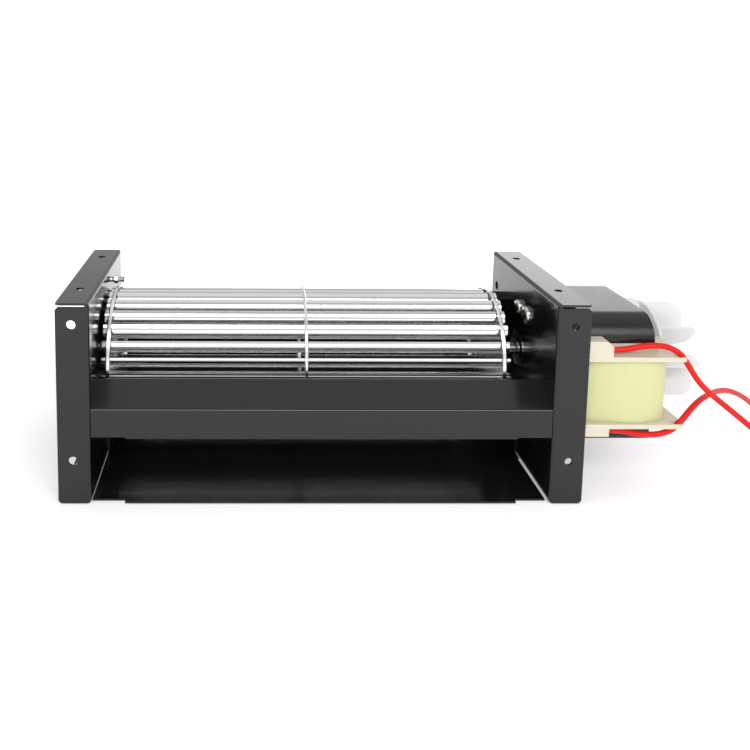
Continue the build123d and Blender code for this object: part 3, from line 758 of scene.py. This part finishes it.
# ---------------------------------------------------------------------------
# Coil: enamelled wire wound on the bobbin, under several turns of pale yellow
# polyester tape, drawn tight, so that the winding bulges a little on every side.
tape_middle = Vector((0.1348, -0.03165, 0.0508))
tape_length = 0.0440
tape_depth = 0.0188
tape_height = 0.0289
tape_corner = 0.0038
tape_swells = ((-0.008, 1.117), (0.0, 1.160), (0.008, 1.117))
rim_ratio = 0.992
same_place = 1e-5
pale_tape = (0.60, 0.615, 0.345)
deep_tape = (0.56, 0.565, 0.27)

tape_material, start = new_material("yellow_polyester_tape")
turns = noise(start, place_on_piece(start, (1, 1, 0.06)), 420.0, 2.0)
crease = noise(start, place_on_piece(start), 110.0, 3.0)
surface(
    start,
    Base_Color=mix_colours(start, 0.6 * crease + 0.4 * turns, pale_tape, deep_tape),
    Roughness=0.24 + 0.14 * crease,
    Normal=bump(start, 0.4 * turns + crease, 0.00012, 0.5),
    Subsurface_Weight=0.3,
    Subsurface_Radius=(1.0, 0.9, 0.3),
    Subsurface_Scale=0.002,
)


def cut_across(place, normal):
    """Cuts every face of the piece being edited on a plane."""
    bpy.ops.mesh.select_all(action="SELECT")
    bpy.ops.mesh.bisect(plane_co=place, plane_no=normal)


def select_edges(piece, test):
    """Selects the edges of the piece being edited whose two ends pass a test."""
    bpy.ops.mesh.select_all(action="DESELECT")
    bpy.ops.mesh.select_mode(type="EDGE")
    mesh = bmesh.from_edit_mesh(piece.data)
    for edge in mesh.edges:
        edge.select = test(*(vert.co for vert in edge.verts))
    bmesh.update_edit_mesh(piece.data)


coil_tape = block("coil_tape", tape_middle, (tape_length, tape_depth, tape_height))
bpy.ops.object.mode_set(mode="EDIT")
select_edges(coil_tape, lambda a, b: abs(a.z - b.z) > tape_height / 2)
bpy.ops.mesh.bevel(offset=tape_corner, segments=1, affect="EDGES")
for shift, swell in tape_swells:
    cut_x = tape_middle.x + shift
    cut_across((cut_x, 0, 0), (1, 0, 0))
    select_edges(
        coil_tape, lambda a, b: max(abs(a.x - cut_x), abs(b.x - cut_x)) < same_place
    )
    bpy.ops.transform.resize(value=(1, swell, 1), center_override=tape_middle)
cut_across(tape_middle, (0, 0, 1))
for rim_z in (tape_middle.z - tape_height / 2, tape_middle.z + tape_height / 2):
    select_edges(
        coil_tape, lambda a, b: max(abs(a.z - rim_z), abs(b.z - rim_z)) < same_place
    )
    bpy.ops.transform.resize(
        value=(rim_ratio, rim_ratio, 1), center_override=tape_middle
    )
    bpy.ops.transform.edge_crease(value=1)
bpy.ops.mesh.select_all(action="SELECT")
bpy.ops.mesh.normals_make_consistent(inside=False)
bpy.ops.object.mode_set(mode="OBJECT")
rounding = coil_tape.modifiers.new("drawn_tight", "SUBSURF")
rounding.levels = rounding.render_levels = 3
bpy.ops.object.modifier_apply(modifier=rounding.name)
finish_piece(coil_tape, "coil_winding", tape_material, crease=50)

# ---------------------------------------------------------------------------
# Cooling fan: moulded in milky polypropylene that lets light through, pressed on the
# outer end of the motor shaft, where its flat paddles blow air over the coil.
milky_white = (0.80, 0.80, 0.80)
milky_grey = (0.77, 0.775, 0.775)

milky_material, start = new_material("milky_polypropylene")
where = place_on_piece(start)
flow = noise(start, where, 50.0, 3.0)
skin = noise(start, where, 1800.0, 2.0)
surface(
    start,
    Base_Color=mix_colours(start, flow, milky_white, milky_grey),
    Roughness=0.34 + 0.12 * skin,
    Normal=bump(start, skin, 0.00003),
    Transmission_Weight=0.15,
    Subsurface_Weight=0.9,
    Subsurface_Radius=(1.0, 1.0, 1.0),
    Subsurface_Scale=0.006,
)

shaft_y, shaft_z = 0.0025, 0.0534
fan_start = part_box("cooling_fan")[0][0]
fan_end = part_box("cooling_fan")[1][0]
fan_radius = 0.0240
rim_rounding = 0.0002
disc_end = fan_start + 0.0012
hub_foot_radius = 0.0076
hub_foot_height = 0.0014
hub_base_radius = 0.0064
hub_end = fan_start + 0.0111
hub_radius = 0.0060
hub_rounding = 0.0005
fan_outline = [
    (fan_start, fan_radius - rim_rounding),
    (fan_start + rim_rounding, fan_radius),
    (disc_end, fan_radius),
    (disc_end, hub_foot_radius),
    (disc_end + hub_foot_height, hub_base_radius),
    (hub_end - hub_rounding, hub_radius),
    (hub_end, hub_radius - hub_rounding),
]
fan = drawn_along_x("motor_cooling_fan", 64, shaft_y, shaft_z, fan_outline)

paddle_count = 8
paddle_thickness = 0.0011
paddle_root = 0.0052
paddle_inset = 0.0001
paddle_start = disc_end - 0.0004
outer_corner = 0.0078
inner_corner = 0.0072
near_corner = 0.0003
paddles = block(
    "fan_paddles",
    (
        (paddle_start + fan_end) / 2,
        shaft_y,
        shaft_z + (paddle_root + fan_radius) / 2,
    ),
    (
        fan_end - paddle_start,
        paddle_thickness,
        fan_radius - paddle_inset - paddle_root,
    ),
)
bpy.ops.object.mode_set(mode="EDIT")
for reach, corner in ((fan_radius, outer_corner), (paddle_root, inner_corner)):
    corner_z = shaft_z + reach
    select_edges(
        paddles,
        lambda a, b: min(a.x, b.x) > fan_end - same_place
        and max(abs(a.z - corner_z), abs(b.z - corner_z)) < near_corner,
    )
    bpy.ops.mesh.bevel(offset=corner, segments=8, affect="EDGES")
bpy.ops.mesh.select_all(action="SELECT")
for _ in range(paddle_count - 1):
    bpy.ops.mesh.duplicate()
    bpy.ops.transform.rotate(
        value=2 * math.pi / paddle_count,
        orient_axis="X",
        center_override=(paddle_start, shaft_y, shaft_z),
    )
bpy.ops.mesh.select_all(action="SELECT")
bpy.ops.mesh.normals_make_consistent(inside=False)
bpy.ops.object.mode_set(mode="OBJECT")
combine(fan, paddles, "UNION")
finish_piece(fan, "cooling_fan", milky_material, body="impeller")
